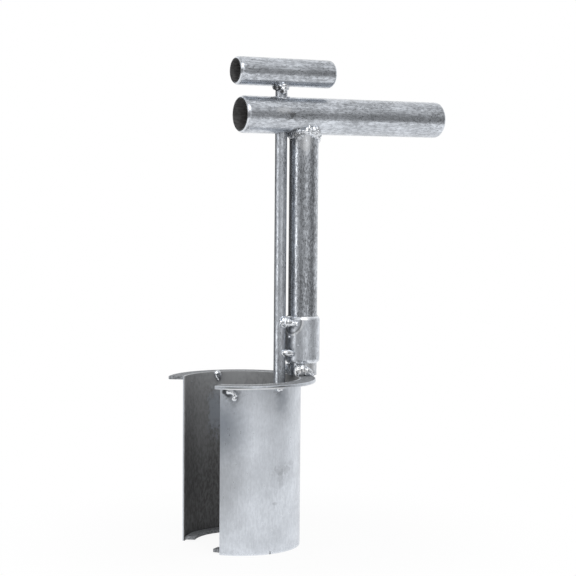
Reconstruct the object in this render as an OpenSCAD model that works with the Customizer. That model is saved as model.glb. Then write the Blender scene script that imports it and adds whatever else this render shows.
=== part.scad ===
// Barrel transplanter: a slotted steel barrel on a tubular stem with a T handle.
// A second handle lifts and lowers a push ring inside the barrel, which pushes the plug of soil out.
// The origin is the centre of the barrel's mouth, +Z points up along the barrel,
// and +X points from the slot towards the stem, along the handles.

/* [Barrel] */
// Outside diameter of the rolled barrel
barrel_od = 108; // [90:1:140]
// Thickness of the barrel's sheet
barrel_wall = 2; // [1.5:0.1:3]
// Height of the barrel from its mouth to its top
barrel_height = 152; // [110:1:220]
// Angle that the slot leaves open
slot_angle = 78.2; // [40:0.1:100]
// Turn of the slot away from straight under the handles
slot_turn = 3.6; // [-6:0.1:6]

/* [Flange ring] */
// Width of the flange ring round the barrel
flange_width = 13.5; // [11:0.5:22]
// Thickness of the flange ring
flange_thickness = 3; // [2:0.5:6]
// Rounding of the flange ring's long edges
flange_edge = 0.5; // [0.2:0.1:0.9]

/* [Stem] */
// Outside diameter of the stem tube
stem_od = 26.9; // [21:0.1:30]
// Wall of the stem tube
stem_wall = 2.3; // [1.5:0.1:3.5]
// Distance from the barrel's outside to the stem's axis
stem_offset = 9; // [6:0.5:10]
// Rise from the top of the barrel to the main handle's centre line
stem_rise = 238.5; // [200:0.5:600]

/* [Main handle] */
// Outside diameter of the main handle tube
main_handle_od = 33.7; // [31:0.1:42]
// Wall of the main handle tube
main_handle_wall = 2.8; // [1.8:0.1:3.5]
// Length of the main handle
main_handle_length = 212; // [170:1:320]
// Distance from the rod's axis to the main handle's short end
main_handle_back = 42.1; // [25:0.1:80]
// Radial room round the rod in the main handle's holes
rod_hole_clearance = 1.5; // [0.5:0.1:3]

/* [Push handle] */
// Outside diameter of the push handle tube
push_handle_od = 25.6; // [22:0.1:34]
// Wall of the push handle tube
push_handle_wall = 2.8; // [1.8:0.1:3.5]
// Length of the push handle
push_handle_length = 99; // [80:1:200]
// Distance from the rod's axis to the push handle's end over the slot
push_handle_back = 47.2; // [25:0.1:65]
// Gap between the two handles with the push ring down
handle_gap = 9.3; // [7:0.1:40]

/* [Rod and guide sleeve] */
// Diameter of the round push rod
rod_d = 11; // [8:0.5:14]
// Radial room between the guide sleeve and the stem
slide_clearance = 0.55; // [0.3:0.05:1]
// Wall of the guide sleeve
sleeve_wall = 2; // [1.5:0.1:3]
// Length of the guide sleeve
sleeve_length = 43; // [30:1:80]
// Gap between the rod and the guide sleeve, which their welds bridge
sleeve_rod_gap = 2.4; // [2:0.1:4]

/* [Push ring] */
// Height of the push ring above the mouth when it is down
push_ring_lift = 1.4; // [0.5:0.1:8]
// Thickness of the push ring
push_ring_thickness = 3; // [2:0.5:6]
// Width of the push ring from its inner to its outer edge
push_ring_width = 9; // [7:0.5:14]
// Gap between the push ring and the barrel's inside
push_ring_clearance = 1; // [0.5:0.1:2]
// Angle that the push ring leaves open at the slot
push_ring_opening = 69; // [30:0.5:100]
// Radius of the pad that carries the rod
rod_pad_r = 9.5; // [8.5:0.5:11]

/* [Welds] */
// Depth of the stem's top weld along the stem
top_weld_depth = 8; // [5:0.5:12]
// Width of the stem's top weld on the main handle
top_weld_width = 2.8; // [1.5:0.1:3.2]
// Height of the two welds at the stem's foot, on which the guide sleeve rests
foot_weld_height = 11; // [7:0.5:16]
// Width of the foot welds on the flange ring
foot_weld_width = 4.5; // [3:0.5:6]
// Depth of the weld under the push handle, along the rod
handle_weld_depth = 5; // [3:0.5:6]
// Width of that weld on the push handle
handle_weld_width = 3.4; // [2:0.1:4]
// Height of the weld round the rod's foot
rod_weld_height = 4; // [2:0.5:8]
// Width of the weld round the rod's foot
rod_weld_width = 3; // [2:0.5:3]
// Height of each weld between the rod and the guide sleeve
sleeve_weld_height = 8; // [5:0.5:12]
// Distance from the guide sleeve's upper end to the upper weld's middle
upper_sleeve_weld_drop = 7; // [5:0.5:13]
// Distance from the guide sleeve's lower end to the lower weld's middle
lower_sleeve_weld_rise = 9; // [5:0.5:13]
// Depth of the tacks under the flange ring, along the barrel
tack_depth = 9; // [5:0.5:12]
// Width of the tacks on the flange ring
tack_width = 4; // [2:0.5:6]
// Length of each tack round the barrel
tack_length = 7; // [5:0.5:12]
// Height of the two beads that stop the push ring at the top
stop_bead_height = 9; // [6:0.5:14]
// Width of each stop bead round the barrel
stop_bead_width = 5.5; // [4:0.5:9]
// Reach of each stop bead over the push ring's edge
stop_bead_reach = 1.5; // [1:0.1:3]

/* [Fits] */
// Gap left where one piece rests on another
rest_gap = 0.5; // [0.3:0.1:1]
// Gap between the flange ring and the barrel
ring_gap = 0.1; // [0.05:0.05:0.3]
// Radius of the shoulder that the tube cutter rolls at each cut end
shoulder_r = 5; // [2:0.5:8]
// How far the shoulder draws the outside in at the cut
shoulder_drop = 1.6; // [0.4:0.1:2]

/* [Hidden] */
$fn = 120;

zinc = [0.66, 0.69, 0.72];
dull_zinc = [0.56, 0.59, 0.62];
weld_grey = [0.50, 0.52, 0.54];

barrel_r = barrel_od / 2;
barrel_ir = barrel_r - barrel_wall;
flange_ir = barrel_r + ring_gap;
flange_r = barrel_r + flange_width;
flange_z = barrel_height - flange_thickness;

stem_r = stem_od / 2;
stem_x = barrel_r + stem_offset;
main_r = main_handle_od / 2;
main_z = barrel_height + stem_rise;

sleeve_ir = stem_r + slide_clearance;
sleeve_r = sleeve_ir + sleeve_wall;
sleeve_z = barrel_height + foot_weld_height + rest_gap;

rod_r = rod_d / 2;
rod_x = stem_x - sleeve_r - sleeve_rod_gap - rod_r;
rod_foot_z = push_ring_lift + push_ring_thickness;
push_r = push_handle_od / 2;
push_z = main_z + main_r + handle_gap + push_r;

push_ring_r = barrel_ir - push_ring_clearance;
push_ring_ir = push_ring_r - push_ring_width;

// Where the welds stand round the barrel, measured from +X
front_left_tack = 233;
front_right_tack = 281;
stop_bead_at = 86;

// Gap between a weld and the round faces that it joins
weld_gap = 0.05;
// How full a weld's face is, from 0 for flat to 1 for round
weld_crown = 0.55;
// Half the depth of a weld's ripples, as a share of its size
ripple_depth = 0.07;
// Length of one ripple along a weld
ripple_length = 2.6;

// Room by which a cutting shape passes the piece that it cuts
cut_over = 5;

// The same list from its end to its start
function reversed(list) = [for (i = [len(list) - 1 : -1 : 0]) list[i]];

// Triangles that fill a ring, laid between its first half and its second half
function cap_faces(size) = [
    for (j = [0 : ceil(size / 2) - 2])
        let (b = j + 1)
        let (c = size - 1 - j)
        for (face = b == c - 1 ? [[j, b, c]] : [[j, b, c], [b, c - 1, c]]) face
];

// Skins a row of rings, all with the same number of points; the row is closed on itself or capped
module skin(rings, closed) {
    count = len(rings);
    size = len(rings[0]);
    points = [for (ring = rings) for (p = ring) p];
    spans = closed ? count : count - 1;
    sides = [
        for (i = [0 : spans - 1])
            for (j = [0 : size - 1])
                let (a = i * size + j)
                let (b = i * size + (j + 1) % size)
                let (c = ((i + 1) % count) * size + j)
                let (d = ((i + 1) % count) * size + (j + 1) % size)
                for (face = [[a, b, c], [b, d, c]]) face
    ];
    first_cap = [for (face = cap_faces(size)) reversed(face)];
    last_cap = [for (face = cap_faces(size)) face + (count - 1) * size * [1, 1, 1]];
    caps = closed ? [] : concat(first_cap, last_cap);
    polyhedron(points = points, faces = concat(sides, caps), convexity = 6);
}

// A weld swells and sinks along its length as each drop of metal lies on the last
function ripple(along) =
    1 + ripple_depth * (sin(360 * along / ripple_length) + sin(360 * along / (3.7 * ripple_length)));

// A weld that ends tapers over its length, from 0 at its ends to 1 in its middle
function taper(share) = sqrt(max(0, 1 - pow(2 * share - 1, 4)));

// Points across a weld's face, as shares of its width and its height, from the seat to the post
face_steps = 5;
face_shares = [
    for (k = [0 : face_steps])
        let (a = 90 * k / face_steps)
        let (flat = k / face_steps)
        [
            (1 - flat) * (1 - weld_crown) + cos(a) * weld_crown,
            flat * (1 - weld_crown) + sin(a) * weld_crown
        ]
];

// One section of a fillet weld, at an angle round an upright post. seat gives the height of the
// surface that the post meets, seat_steps is how many chords follow it under the weld, and
// side is 1 for a weld above the seat and -1 for one below it
function fillet_section(angle, post_r, width, height, side, seat, seat_steps) =
    let (dir = [cos(angle), sin(angle)])
    let (at = function(reach, rise)
        let (p = (post_r + weld_gap + reach) * dir) [p.x, p.y, seat(p) + side * rise])
    concat(
        [for (k = [0 : seat_steps - 1]) at(width * k / seat_steps, 0)],
        [for (s = face_shares) at(s[0] * width, s[1] * height)]
    );

// A fillet weld round an upright post on the Z axis, over the angles from start to end
module fillet_weld(post_r, width, height, side, seat, seat_steps, start = 0, end = 360, steps = 72) {
    closed = end - start == 360;
    last = closed ? steps - 1 : steps;
    rings = [
        for (i = [0 : last])
            let (share = i / steps)
            let (angle = start + (end - start) * share)
            let (size = ripple(post_r * angle * PI / 180) * (closed ? 1 : 0.12 + 0.88 * taper(share)))
            fillet_section(angle, post_r, width * size, height * size, side, seat, seat_steps)
    ];
    skin(side > 0 ? rings : [for (ring = rings) reversed(ring)], closed);
}

// The height of a round tube's underside, measured from its axis, for a weld that hangs from it
function under_tube(r) = function(p) -sqrt((r + weld_gap) * (r + weld_gap) - p.y * p.y);

// How wide a weld can be where a post meets a tube of a larger radius
function saddle_width(wanted, post_r, tube_r) = min(wanted, 0.85 * (tube_r - post_r));

// Section of a tube's wall along its length, with a rolled shoulder at each cut end
module tube_section(od, wall, length) {
    r = od / 2;
    drop = min(shoulder_drop, 0.8 * wall);
    run = sqrt(shoulder_r * shoulder_r - pow(shoulder_r - drop, 2));
    intersection() {
        translate([r - wall, 0]) square([wall, length]);
        union() {
            translate([r - wall, run]) square([wall, length - 2 * run]);
            translate([r - shoulder_r, run]) circle(shoulder_r);
            translate([r - shoulder_r, length - run]) circle(shoulder_r);
        }
    }
}

// A tube standing on the XY plane
module tube(od, wall, length) {
    rotate_extrude() tube_section(od, wall, length);
}

// The same tube lying along X from the origin
module tube_along_x(od, wall, length) {
    rotate([0, 90, 0]) tube(od, wall, length);
}

// A flat bar rolled on edge into an open ring, with rounded long edges
module open_ring(inner_r, outer_r, thickness, edge, opening, middle) {
    rotate([0, 0, middle + opening / 2])
        rotate_extrude(angle = 360 - opening) {
            translate([inner_r, edge]) square([outer_r - inner_r, thickness - 2 * edge]);
            translate([inner_r + edge, 0]) square([outer_r - inner_r - 2 * edge, thickness]);
            for (r = [inner_r + edge, outer_r - edge])
                for (z = [edge, thickness - edge])
                    translate([r, z]) circle(edge);
        }
}

// The rolled sheet barrel, open along its slot
module barrel() {
    color(zinc)
        rotate([0, 0, 180 + slot_turn + slot_angle / 2])
            rotate_extrude(angle = 360 - slot_angle)
                translate([barrel_ir, 0]) square([barrel_wall, barrel_height]);
}

// The ring welded round the top of the barrel, cut off in line with the slot
module flange_ring() {
    color(zinc)
        translate([0, 0, flange_z])
            open_ring(flange_ir, flange_r, flange_thickness, flange_edge, slot_angle, 180 + slot_turn);
}

// The upright tube, flat on the flange ring and coped to the main handle
module stem() {
    color(zinc)
        difference() {
            translate([stem_x, 0, barrel_height])
                rotate_extrude() translate([stem_r - stem_wall, 0]) square([stem_wall, stem_rise]);
            main_handle_space();
        }
}

// The solid cylinder that the main handle fills, used to cut what meets it
module main_handle_space() {
    translate([rod_x - main_handle_back, 0, main_z])
        rotate([0, 90, 0]) cylinder(r = main_r, h = main_handle_length);
}

// The T handle's tube, drilled right through for the push rod
module main_handle() {
    color(zinc)
        difference() {
            translate([rod_x - main_handle_back, 0, main_z])
                tube_along_x(main_handle_od, main_handle_wall, main_handle_length);
            translate([rod_x, 0, main_z - main_r - cut_over])
                cylinder(r = rod_r + rod_hole_clearance, h = main_handle_od + 2 * cut_over);
        }
}

// The weld that follows the saddle between the stem and the main handle
module stem_top_weld() {
    color(weld_grey)
        translate([stem_x, 0, main_z])
            fillet_weld(stem_r, saddle_width(top_weld_width, stem_r, main_r), top_weld_depth, -1,
                under_tube(main_r), 4);
}

// One weld at the stem's foot, where the stem stands over the flange ring
module stem_foot_weld(start, end) {
    color(weld_grey)
        translate([stem_x, 0, barrel_height])
            fillet_weld(stem_r, foot_weld_width, foot_weld_height / (1 + 2 * ripple_depth), 1,
                function(p) 0, 1, start, end, 28);
}

// The stem's foot is over the flange ring between these two angles round the stem
foot_weld_start = 86;
foot_weld_end = 144;

module stem_foot_weld_front() {
    stem_foot_weld(-foot_weld_end, -foot_weld_start);
}

module stem_foot_weld_back() {
    stem_foot_weld(foot_weld_start, foot_weld_end);
}

// One tack in the corner under the flange ring, at an angle round the barrel
module flange_tack(angle) {
    half = tack_length / barrel_r * 90 / PI;
    color(weld_grey)
        translate([0, 0, flange_z])
            fillet_weld(barrel_r, tack_width, tack_depth, -1,
                function(p) 0, 1, angle - half, angle + half, 12);
}

module flange_tack_front_left() {
    flange_tack(front_left_tack);
}

module flange_tack_front_right() {
    flange_tack(front_right_tack);
}

module flange_tack_back_left() {
    flange_tack(360 - front_left_tack);
}

module flange_tack_back_right() {
    flange_tack(360 - front_right_tack);
}

// One bead on the barrel's inside, under its top, that the push ring meets when it is fully up
module stop_bead(angle) {
    slices = 8;
    points = 8;
    depth = push_ring_clearance + stop_bead_reach;
    rings = [
        for (i = [0 : slices])
            let (share = i / slices)
            let (size = 0.3 + 0.7 * taper(share))
            let (half = size * stop_bead_width / 2)
            let (wall_x = sqrt(barrel_ir * barrel_ir - half * half))
            let (z = barrel_height - stop_bead_height * share)
            [
                for (k = [0 : points])
                    let (a = 180 * k / points)
                    [wall_x - depth * size * sin(a) * ripple(z), half * cos(a), z]
            ]
    ];
    color(weld_grey)
        rotate([0, 0, angle]) skin(rings, false);
}

module stop_bead_front() {
    stop_bead(-stop_bead_at);
}

module stop_bead_back() {
    stop_bead(stop_bead_at);
}

// The short tube that lifts and pushes the rod
module push_handle() {
    color(zinc)
        translate([rod_x - push_handle_back, 0, push_z])
            tube_along_x(push_handle_od, push_handle_wall, push_handle_length);
}

// The solid cylinder that the push handle fills, used to cut what meets it
module push_handle_space() {
    translate([rod_x - push_handle_back, 0, push_z])
        rotate([0, 90, 0]) cylinder(r = push_r, h = push_handle_length);
}

// The round bar from the push ring up through the main handle, coped to the push handle
module push_rod() {
    color(zinc)
        difference() {
            translate([rod_x, 0, rod_foot_z]) cylinder(r = rod_r, h = push_z - rod_foot_z);
            push_handle_space();
        }
}

// The weld under the push handle, round the top of the rod
module push_handle_weld() {
    color(weld_grey)
        translate([rod_x, 0, push_z])
            fillet_weld(rod_r, saddle_width(handle_weld_width, rod_r, push_r), handle_weld_depth, -1,
                under_tube(push_r), 4, 0, 360, 40);
}

// The short tube that runs on the stem and keeps the rod in line
module guide_sleeve() {
    color(zinc)
        translate([stem_x, 0, sleeve_z])
            tube(2 * sleeve_r, sleeve_wall, sleeve_length);
}

// A point on a circle seen from above, at a height
function on_circle(x, r, angle, z) = [x + r * cos(angle), r * sin(angle), z];

// One weld in the hollow between the rod and the guide sleeve, with its middle at height z;
// side is 1 for the back of the pair and -1 for the front
module sleeve_weld(z, side) {
    slices = 16;
    rod_steps = 12;
    sleeve_steps = 6;
    across_steps = 6;
    rod_arc = [12, 108];
    sleeve_arc = [4, 44];
    bulge = 2.2;
    rings = [
        for (i = [0 : slices])
            let (a = 180 * i / slices)
            let (size = 0.6 + 0.4 * sin(a))
            let (rise = z - sign(cos(a)) * sqrt(abs(cos(a))) * sleeve_weld_height / 2)
            let (rod_end = size * rod_arc[1])
            let (sleeve_end = size * sleeve_arc[1])
            let (on_rod = [
                for (k = [0 : rod_steps])
                    let (a = rod_arc[0] + (rod_end - rod_arc[0]) * k / rod_steps)
                    on_circle(rod_x, rod_r + weld_gap, side * a, rise)
            ])
            let (on_sleeve = [
                for (k = [0 : sleeve_steps])
                    let (a = sleeve_end + (sleeve_arc[0] - sleeve_end) * k / sleeve_steps)
                    on_circle(stem_x, sleeve_r + weld_gap, 180 - side * a, rise)
            ])
            let (first = on_rod[rod_steps])
            let (across = on_sleeve[0] - first)
            let (face = [
                for (k = [1 : across_steps - 1])
                    let (t = k / across_steps)
                    let (out = bulge * size * sin(180 * t) * ripple(rise + 4 * t))
                    first + t * across + [0, side * out, 0]
            ])
            concat(on_rod, face, on_sleeve)
    ];
    color(weld_grey)
        skin(side > 0 ? rings : [for (ring = rings) reversed(ring)], false);
}

module sleeve_weld_upper() {
    sleeve_weld(sleeve_z + sleeve_length - upper_sleeve_weld_drop, -1);
}

module sleeve_weld_lower() {
    sleeve_weld(sleeve_z + lower_sleeve_weld_rise, -1);
}

// The wedge that the push ring leaves open, seen from above
module push_ring_opening_outline() {
    reach = 2 * push_ring_r;
    half = push_ring_opening / 2;
    polygon([[0, 0], reach * [-cos(half), sin(half)], reach * [-cos(half), -sin(half)]]);
}

// The open ring that pushes the soil out, with a pad inside it that carries the rod
module push_ring() {
    color(dull_zinc)
        translate([0, 0, push_ring_lift])
            linear_extrude(push_ring_thickness) {
                difference() {
                    circle(push_ring_r);
                    circle(push_ring_ir);
                    push_ring_opening_outline();
                }
                translate([rod_x, 0]) circle(rod_pad_r);
            }
}

// The weld round the rod's foot, on the push ring's pad
module rod_foot_weld() {
    color(weld_grey)
        translate([rod_x, 0, rod_foot_z])
            fillet_weld(rod_r, rod_weld_width, rod_weld_height, 1, function(p) 0, 1, 0, 360, 36);
}

barrel();
flange_ring();
stem();
main_handle();
stem_top_weld();
stem_foot_weld_front();
stem_foot_weld_back();
flange_tack_front_left();
flange_tack_front_right();
flange_tack_back_left();
flange_tack_back_right();
stop_bead_front();
stop_bead_back();
push_handle();
push_rod();
guide_sleeve();
push_ring();
push_handle_weld();
sleeve_weld_upper();
sleeve_weld_lower();
rod_foot_weld();
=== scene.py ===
# %% [markdown]
# Barrel transplanter. A hand tool that lifts a plant with its plug of soil: the slotted barrel is turned
# into the ground, and the small upper handle then pushes the soil out with a ring inside the barrel.
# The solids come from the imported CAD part, which is loaded here and never moved or reshaped. This script
# sets up the camera and the studio, gives the tubes and sheets their finish, and lays the weld beads.

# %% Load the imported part
import math

import bmesh
import bpy
from mathutils import Matrix, Vector


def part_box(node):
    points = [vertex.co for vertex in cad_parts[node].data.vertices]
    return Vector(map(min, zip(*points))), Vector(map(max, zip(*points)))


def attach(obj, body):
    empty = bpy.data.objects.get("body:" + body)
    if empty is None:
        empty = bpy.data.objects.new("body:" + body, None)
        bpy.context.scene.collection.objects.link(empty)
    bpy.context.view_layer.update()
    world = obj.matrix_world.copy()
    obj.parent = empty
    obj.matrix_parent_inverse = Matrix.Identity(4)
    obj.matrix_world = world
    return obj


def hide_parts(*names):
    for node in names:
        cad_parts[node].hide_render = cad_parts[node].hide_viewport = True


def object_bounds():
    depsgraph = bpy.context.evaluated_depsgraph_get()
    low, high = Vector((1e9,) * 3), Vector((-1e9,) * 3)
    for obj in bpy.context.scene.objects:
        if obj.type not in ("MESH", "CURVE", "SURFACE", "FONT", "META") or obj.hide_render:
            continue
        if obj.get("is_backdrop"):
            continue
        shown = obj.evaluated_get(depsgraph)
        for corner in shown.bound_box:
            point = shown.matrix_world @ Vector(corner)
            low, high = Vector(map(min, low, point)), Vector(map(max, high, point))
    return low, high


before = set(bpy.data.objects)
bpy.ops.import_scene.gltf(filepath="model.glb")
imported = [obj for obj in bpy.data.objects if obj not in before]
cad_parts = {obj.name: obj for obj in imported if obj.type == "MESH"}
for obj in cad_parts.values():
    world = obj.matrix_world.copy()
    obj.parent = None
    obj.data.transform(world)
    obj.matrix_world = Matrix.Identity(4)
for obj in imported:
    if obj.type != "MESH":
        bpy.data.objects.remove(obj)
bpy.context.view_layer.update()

# %% [markdown]
# Everything is in metres. The sizes that the looks need are measured on the loaded solids, so that a
# bead or a worn edge stays on its tube if the part ever comes with other sizes. Only the
# thickness of the barrel's sheet is written here, because a box doesn't show it.

# %% Measure the solids
MM = 0.001


def middle(node):
    """The middle of a node's box."""
    low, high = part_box(node)
    return (low + high) / 2


def half_size(node):
    """Half of a node's width, depth and height."""
    low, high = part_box(node)
    return (high - low) / 2


barrel_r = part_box("barrel")[1].x
barrel_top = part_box("barrel")[1].z
barrel_wall = 2 * MM
flange_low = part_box("flange_ring")[0].z
flange_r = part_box("flange_ring")[1].y
stem_x = middle("stem").x
stem_r = half_size("stem").x
sleeve_r = half_size("guide_sleeve").x
sleeve_low, sleeve_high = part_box("guide_sleeve")[0].z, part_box("guide_sleeve")[1].z
main_z = middle("main_handle").z
main_r = half_size("main_handle").z
push_z = middle("push_handle").z
push_r = half_size("push_handle").z
rod_x = middle("push_rod").x
rod_r = half_size("push_rod").x
rod_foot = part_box("push_rod")[0].z
print("stem at x", round(stem_x / MM, 1), "mm, rod at x", round(rod_x / MM, 1), "mm")
print("handles at z", round(main_z / MM, 1), "and", round(push_z / MM, 1), "mm")

# %% [markdown]
# The camera stands no higher than the handles, a little to the left of the front and about a metre and a
# half away, as the picture's does. Its place and turn were worked out from the object's edges. Blender
# would take three Euler angles, but a heading, a tilt and a roll are easier to follow, so the matrix is
# built from them.
# The Standard view shows colours as they are written, where the default one would grey the background.

# %% Stand the camera
CAMERA_AT = Vector((-0.67206, -1.31476, 0.32525))
HEADING, TILT, ROLL = (math.radians(x) for x in (28.69, 3.54, 0.45))
LENS, SENSOR = 101.94, 36

ahead = Vector((math.sin(HEADING) * math.cos(TILT), math.cos(HEADING) * math.cos(TILT), -math.sin(TILT)))
level_right = Vector((math.cos(HEADING), -math.sin(HEADING), 0))
level_up = level_right.cross(ahead)
right = math.cos(ROLL) * level_right + math.sin(ROLL) * level_up
up = math.cos(ROLL) * level_up - math.sin(ROLL) * level_right

camera = bpy.data.objects.new("camera", bpy.data.cameras.new("camera"))
bpy.context.scene.collection.objects.link(camera)
camera.data.lens = LENS
camera.data.sensor_width = SENSOR
camera.matrix_world = Matrix.Translation(CAMERA_AT) @ Matrix((right, up, -ahead)).transposed().to_4x4()
bpy.context.scene.camera = camera
bpy.context.scene.view_settings.view_transform = "Standard"
print("camera at", [round(x, 3) for x in CAMERA_AT], "lens", camera.data.lens)

# %% [markdown]
# A material, a world and a geometry tree are all graphs of nodes. They could be drawn by hand in the
# node editor. Here a few small helpers write them as ordinary code: an input is given either a number or
# another node's output, and is linked if it is one.

# %% Helpers that write node trees


def feed(tree, socket, term):
    """Gives a socket a value, or links it to another node's output."""
    if isinstance(term, bpy.types.NodeSocket):
        tree.links.new(term, socket)
    else:
        socket.default_value = term


def add(tree, kind, inputs=None, **settings):
    """Adds a node, sets its own settings, and feeds its inputs by name or number."""
    made = tree.nodes.new(kind)
    for name, value in settings.items():
        setattr(made, name, value)
    for name, term in (inputs or {}).items():
        feed(tree, made.inputs[name], term)
    return made


def maths(tree, operation, *terms):
    """One Math node."""
    return add(tree, "ShaderNodeMath", dict(enumerate(terms)), operation=operation).outputs[0]


def times(tree, a, b):
    """One number times another."""
    return maths(tree, "MULTIPLY", a, b)


def vector_maths(tree, operation, *terms):
    """One Vector Math node; LENGTH and DOT_PRODUCT give a number."""
    made = add(tree, "ShaderNodeVectorMath", dict(enumerate(terms)), operation=operation)
    return made.outputs["Value" if operation in ("LENGTH", "DOT_PRODUCT") else "Vector"]


print("node helpers ready")

# %% [markdown]
# Four more helpers say what a finish does most: read a height, turn one range of a mask into another,
# mix two colours by a mask, and name a grey. A Mix node has a set of sockets for each kind of data, and
# its colours are inputs 6 and 7 and output 2.

# %% Helpers for masks and colours


def upwards(tree, place):
    """The Z part of a vector."""
    return add(tree, "ShaderNodeSeparateXYZ", {0: place}).outputs["Z"]


def remap(tree, value, low, high, to_low=0.0, to_high=1.0):
    """Turns the range low..high of a value smoothly into to_low..to_high, and holds it there."""
    return add(
        tree,
        "ShaderNodeMapRange",
        {"Value": value, "From Min": low, "From Max": high, "To Min": to_low, "To Max": to_high},
        interpolation_type="SMOOTHSTEP",
    ).outputs["Result"]


def blend(tree, share, a, b):
    """A colour between a and b."""
    made = add(tree, "ShaderNodeMix", data_type="RGBA")
    for index, term in ((0, share), (6, a), (7, b)):
        feed(tree, made.inputs[index], term)
    return made.outputs[2]


def grey(value, blue=0.0):
    """A grey with a little blue in it, as zinc has, and less than half as much green."""
    return (value, value * (1 + 0.4 * blue), value * (1 + blue), 1)


WHITE = grey(1.0)
print("mask helpers ready, white is", WHITE)

# %% [markdown]
# The studio. Bare metal is a mirror, so what it shows is the room round it. A plain white room would make
# every tube flat, and a photographed one would need a picture file. A product studio has a pale sweep
# behind, soft lamps at the sides, and darker gaps between them that draw the long bands down a tube. A
# colour ramp turned round the object gives just that, and each of its levels can be set by eye.

# %% Build the walls of the room
CAMERA_SIDE = math.degrees(math.atan2(-ahead.y, -ahead.x))
# Brightness of the room round the object, by the angle from the camera to the right, in degrees
ROOM = [
    (-180, 1.00), (-168, 0.45), (-150, 0.10), (-125, 0.03), (-108, 0.08), (-88, 0.50), (-66, 0.72),
    (-46, 0.50), (-28, 0.23), (-12, 0.20), (6, 0.38), (24, 0.66), (42, 0.48), (58, 0.27), (76, 0.17),
    (94, 0.36), (114, 0.78), (132, 1.00), (180, 1.00),
]

world = bpy.data.worlds.new("studio")
bpy.context.scene.world = world
world.use_nodes = True
world.cycles.sampling_method = "NONE"
tree = world.node_tree
tree.nodes.clear()
looking = add(tree, "ShaderNodeTexCoord").outputs["Generated"]
split = add(tree, "ShaderNodeSeparateXYZ", {0: looking})
turn = maths(tree, "ARCTAN2", split.outputs["Y"], split.outputs["X"])
turn = maths(tree, "SUBTRACT", turn, math.radians(CAMERA_SIDE))
turn = maths(tree, "FRACT", maths(tree, "ADD", maths(tree, "DIVIDE", turn, 2 * math.pi), 0.5))
ramp = add(tree, "ShaderNodeValToRGB", {"Fac": turn})
stops = ramp.color_ramp.elements
while len(stops) < len(ROOM):
    stops.new(0.5)
for stop, (angle, level) in zip(stops, ROOM):
    stop.position = (angle + 180) / 360
    stop.color = grey(level)
print("walls:", len(ROOM), "levels round the object")

# %% [markdown]
# The walls run into a ceiling and a pale ground. The ceiling is dimmer on the camera's side, apart from a
# patch straight over the camera that begins lower and is brighter, as a big soft lamp there would be. It
# draws the pale band along the top of each handle. A direction here is a unit vector, so a height is the
# sine of the angle above the horizon, and behind is 1 straight behind the object.

# %% Add the ceiling and the ground
CEILING_EDGE, GROUND_EDGE = (0.2, 0.46), (-0.18, -0.46)
DIM_SIDE, CEILING_LEVELS = (0.0, 0.6), (0.6, 1.0)
PATCH_EDGE, PATCH_BRIGHTER, PATCH_LOWER = (-0.5, -0.8), 0.4, 0.12

behind = vector_maths(tree, "DOT_PRODUCT", looking, ahead)
patch = remap(tree, behind, *PATCH_EDGE)
ceiling = remap(tree, behind, *DIM_SIDE, *CEILING_LEVELS)
ceiling = maths(tree, "ADD", ceiling, times(tree, patch, PATCH_BRIGHTER))
above = maths(tree, "ADD", split.outputs["Z"], times(tree, patch, PATCH_LOWER))
room = blend(tree, remap(tree, above, *CEILING_EDGE), ramp.outputs["Color"], ceiling)
room = blend(tree, remap(tree, split.outputs["Z"], *GROUND_EDGE), room, WHITE)
print("ceiling levels", CEILING_LEVELS, "and", PATCH_BRIGHTER, "more over the camera")

# %% [markdown]
# One world can show each kind of ray something else. The camera itself sees plain white, reflections see
# the room, and everything else gets one plain level, so that the room lights the object evenly.

# %% Show the room to the metal alone
PLAIN_LEVEL = 0.72


def seen_by(tree):
    """Masks of the rays that come from the camera itself, and of those that metal or glass sends on."""
    path = add(tree, "ShaderNodeLightPath").outputs
    return path["Is Camera Ray"], maths(tree, "MAXIMUM", path["Is Glossy Ray"], path["Is Transmission Ray"])


direct, mirrored = seen_by(tree)
seen = blend(tree, mirrored, grey(PLAIN_LEVEL), room)
seen = blend(tree, direct, seen, WHITE)
background = add(tree, "ShaderNodeBackground", {"Color": seen, "Strength": 1.0})
add(tree, "ShaderNodeOutputWorld", {"Surface": background.outputs[0]})
print("plain level", PLAIN_LEVEL)

# %% [markdown]
# The floor is a round table top, flat under the object and pale. It ends not far away, because the
# lower half of a tube would otherwise show nothing but white. To the camera it is nearly as bright as the
# background, so it has no visible rim and only a faint shadow falls on it. The metal shows it a little
# darker. The floor is part plain paint, which takes the shadow, and part its own white.

# %% Lay the floor
FLOOR_R, FLOOR_GREY = 0.62, 0.88
# The floor lies a hair below the object, so that no two faces share a plane
FLOOR_Z = -0.1 * MM
# The share of its own white: under the object, and from half of its radius outwards
NEAR_WHITE, FAR_WHITE, NEAR_R = 0.92, 1.0, 0.08
MIRRORED_WHITE = 0.8

floor_mesh = bpy.data.meshes.new("floor")
shape = bmesh.new()
bmesh.ops.create_circle(shape, cap_ends=True, radius=FLOOR_R, segments=96)
shape.to_mesh(floor_mesh)
shape.free()
floor = bpy.data.objects.new("floor", floor_mesh)
bpy.context.scene.collection.objects.link(floor)
floor.location = (stem_x / 2, 0, FLOOR_Z)
floor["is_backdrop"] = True

pale = bpy.data.materials.new("pale_floor")
pale.use_nodes = True
tree = pale.node_tree
tree.nodes.clear()
from_middle = vector_maths(tree, "LENGTH", add(tree, "ShaderNodeTexCoord").outputs["Object"])
paint = add(tree, "ShaderNodeBsdfDiffuse", {"Color": grey(FLOOR_GREY)})
own_white = add(tree, "ShaderNodeEmission", {"Color": WHITE, "Strength": 1.0})
direct, mirrored = seen_by(tree)
share = times(tree, remap(tree, from_middle, NEAR_R, FLOOR_R / 2, NEAR_WHITE, FAR_WHITE), direct)
share = maths(tree, "MAXIMUM", share, times(tree, mirrored, MIRRORED_WHITE))
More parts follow.
